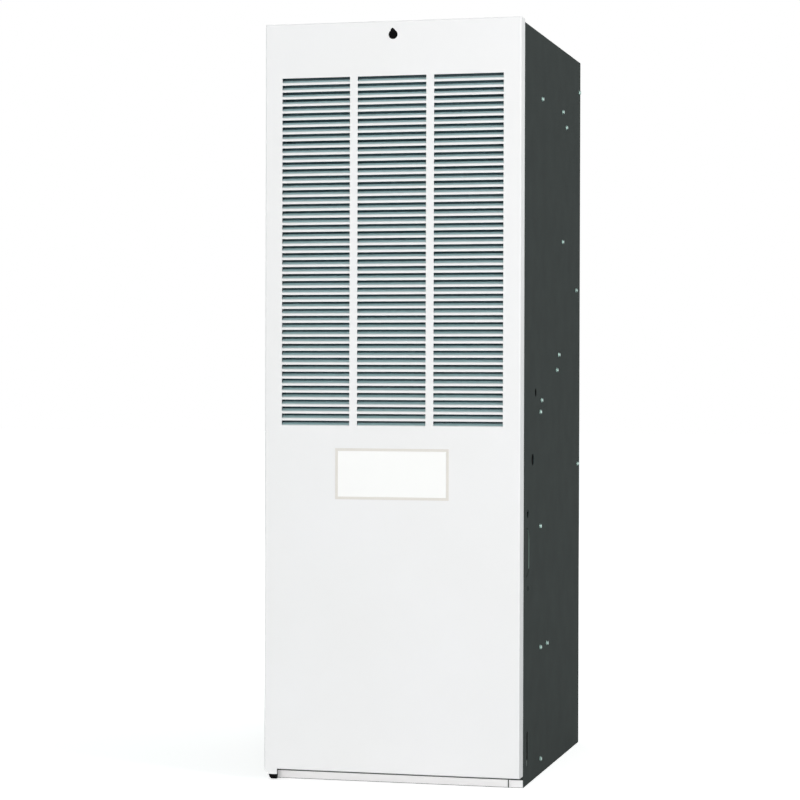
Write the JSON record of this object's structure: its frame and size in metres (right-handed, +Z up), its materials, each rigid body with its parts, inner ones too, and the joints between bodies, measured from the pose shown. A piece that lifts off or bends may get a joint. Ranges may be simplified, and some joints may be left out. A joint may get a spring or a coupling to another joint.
{
  "type": "forced air gas furnace",
  "caption": "Downflow forced air gas furnace: tall charcoal sheet-metal cabinet with a full-height white louvred door, blower, tubular heat exchanger and gas train.",
  "frame": {"origin": "middle of the bounding box's bottom, on the floor", "axes": "+Z up, -Y out of the louvred door, +X to the right seen from the front"},
  "size_m": [0.4968, 0.6356, 1.4224],
  "materials": {
    "left_side_panel": "satin charcoal paint",
    "right_side_panel": "satin charcoal paint",
    "back_panel": "satin charcoal paint",
    "top_panel": "satin charcoal paint",
    "base_pan": "galvanised sheet",
    "toe_strip": "satin white paint",
    "toe_end_block": "satin white paint",
    "door_support_clip": "black paint",
    "front_header": "satin charcoal paint",
    "door_gasket": "closed-cell foam strip",
    "vestibule_panel": "galvanised sheet",
    "blower_deck": "galvanised sheet",
    "door_panel": "satin white paint",
    "name_plate": "bare printed film",
    "door_latch": "moulded",
    "filter_rack": "galvanised sheet",
    "filter_frame": "moulded",
    "filter_media": "pleated fibre media",
    "blower_scroll": "galvanised sheet",
    "blower_side_left": "galvanised sheet",
    "blower_side_right": "galvanised sheet",
    "blower_wheel": "galvanised sheet",
    "blower_shaft": "ground steel",
    "blower_motor": "semi-gloss enamel",
    "motor_mount": "galvanised strap",
    "motor_capacitor": "drawn can",
    "exchanger_tubes": "stainless tube",
    "rear_collector": "stainless sheet",
    "condensing_coil": "stainless tube and sheet",
    "coil_fins": "mill finish foil",
    "header_box": "moulded",
    "inducer_housing": "moulded",
    "inducer_wheel": "moulded",
    "inducer_motor": "enamel",
    "flue_pipe": "extruded white pipe",
    "flue_coupling": "moulded white fitting",
    "air_pipe": "extruded white pipe",
    "air_coupling": "moulded white fitting",
    "pipe_grommets": "moulded",
    "burner_box": "aluminised sheet",
    "burners": "aluminised sheet",
    "gas_manifold": "black iron pipe",
    "gas_valve": "die casting",
    "gas_valve_lever": "moulded",
    "gas_inlet_pipe": "black iron pipe",
    "igniter": "unglazed",
    "flame_sensor": "rod in a ceramic sleeve",
    "rollout_switch": "moulded",
    "rollout_button": "moulded",
    "limit_switch": "moulded",
    "pressure_switch": "moulded",
    "condensate_trap": "moulded",
    "control_board": "coated laminate",
    "board_parts": "moulded",
    "transformer": "laminations and copper winding",
    "junction_box": "black baked enamel",
    "door_switch": "moulded",
    "door_switch_plunger": "moulded",
    "cabinet_screws": "zinc plated"
  },
  "bodies": {
    "cabinet": {"left_side_panel": "left_side_panel", "right_side_panel": "right_side_panel", "back_panel": "back_panel", "top_panel": "top_panel", "base_pan": "base_pan", "toe_strip": "toe_strip", "toe_end_block": "toe_end_block", "door_support_clip": "door_support_clip", "front_header": "front_header", "door_gasket": "door_gasket", "vestibule_panel": "vestibule_panel", "blower_deck": "blower_deck", "blower_scroll": "blower_scroll", "blower_side_left": "blower_side_left", "blower_side_right": "blower_side_right", "blower_motor": "blower_motor", "motor_mount": "motor_mount", "motor_capacitor": "motor_capacitor", "exchanger_tubes": "exchanger_tubes", "rear_collector": "rear_collector", "condensing_coil": "condensing_coil", "coil_fins": "coil_fins", "header_box": "header_box", "inducer_housing": "inducer_housing", "inducer_motor": "inducer_motor", "flue_pipe": "flue_pipe", "flue_coupling": "flue_coupling", "air_pipe": "air_pipe", "air_coupling": "air_coupling", "pipe_grommets": "pipe_grommets", "burner_box": "burner_box", "burners": "burners", "gas_manifold": "gas_manifold", "gas_valve": "gas_valve", "gas_inlet_pipe": "gas_inlet_pipe", "igniter": "igniter", "flame_sensor": "flame_sensor", "rollout_switch": "rollout_switch", "limit_switch": "limit_switch", "pressure_switch": "pressure_switch", "condensate_trap": "condensate_trap", "control_board": "control_board", "board_parts": "board_parts", "transformer": "transformer", "junction_box": "junction_box", "door_switch": "door_switch", "cabinet_screws": "cabinet_screws"},
    "door": {"door_panel": "door_panel", "name_plate": "name_plate", "filter_rack": "filter_rack"},
    "latch": {"door_latch": "door_latch"},
    "filter": {"filter_frame": "filter_frame", "filter_media": "filter_media"},
    "blower": {"blower_wheel": "blower_wheel", "blower_shaft": "blower_shaft"},
    "inducer": {"inducer_wheel": "inducer_wheel"},
    "gas_lever": {"gas_valve_lever": "gas_valve_lever"},
    "reset_button": {"rollout_button": "rollout_button"},
    "switch_plunger": {"door_switch_plunger": "door_switch_plunger"}
  },
  "joints": [
    {"name": "door_lift_off", "type": "slide", "parent": "cabinet", "child": "door", "axis": [0, -1, 0], "range_m": [0, 0.45]},
    {"name": "latch_turn", "type": "hinge", "parent": "door", "child": "latch", "pos_m": [0.002, -0.31725, 1.3969], "axis": [0, 1, 0], "range_deg": [0, 90]},
    {"name": "filter_lift", "type": "slide", "parent": "door", "child": "filter", "axis": [0, 0, 1], "range_m": [0, 0.062]},
    {"name": "blower_spin", "type": "hinge", "parent": "cabinet", "child": "blower", "pos_m": [0, 0.08275, 0.9], "axis": [1, 0, 0], "continuous": true},
    {"name": "inducer_spin", "type": "hinge", "parent": "cabinet", "child": "inducer", "pos_m": [-0.0272, -0.18725, 0.555], "axis": [0, 1, 0], "continuous": true},
    {"name": "gas_lever_turn", "type": "hinge", "parent": "cabinet", "child": "gas_lever", "pos_m": [-0.165, -0.27125, 0.366], "axis": [1, 0, 0], "range_deg": [-15, 15]},
    {"name": "reset_press", "type": "slide", "parent": "cabinet", "child": "reset_button", "axis": [0, 0, -1], "range_m": [0, 0.002], "stiffness_N_per_m": 400},
    {"name": "switch_press", "type": "slide", "parent": "cabinet", "child": "switch_plunger", "axis": [0, 1, 0], "range_m": [0, 0.004], "stiffness_N_per_m": 300}
  ]
}
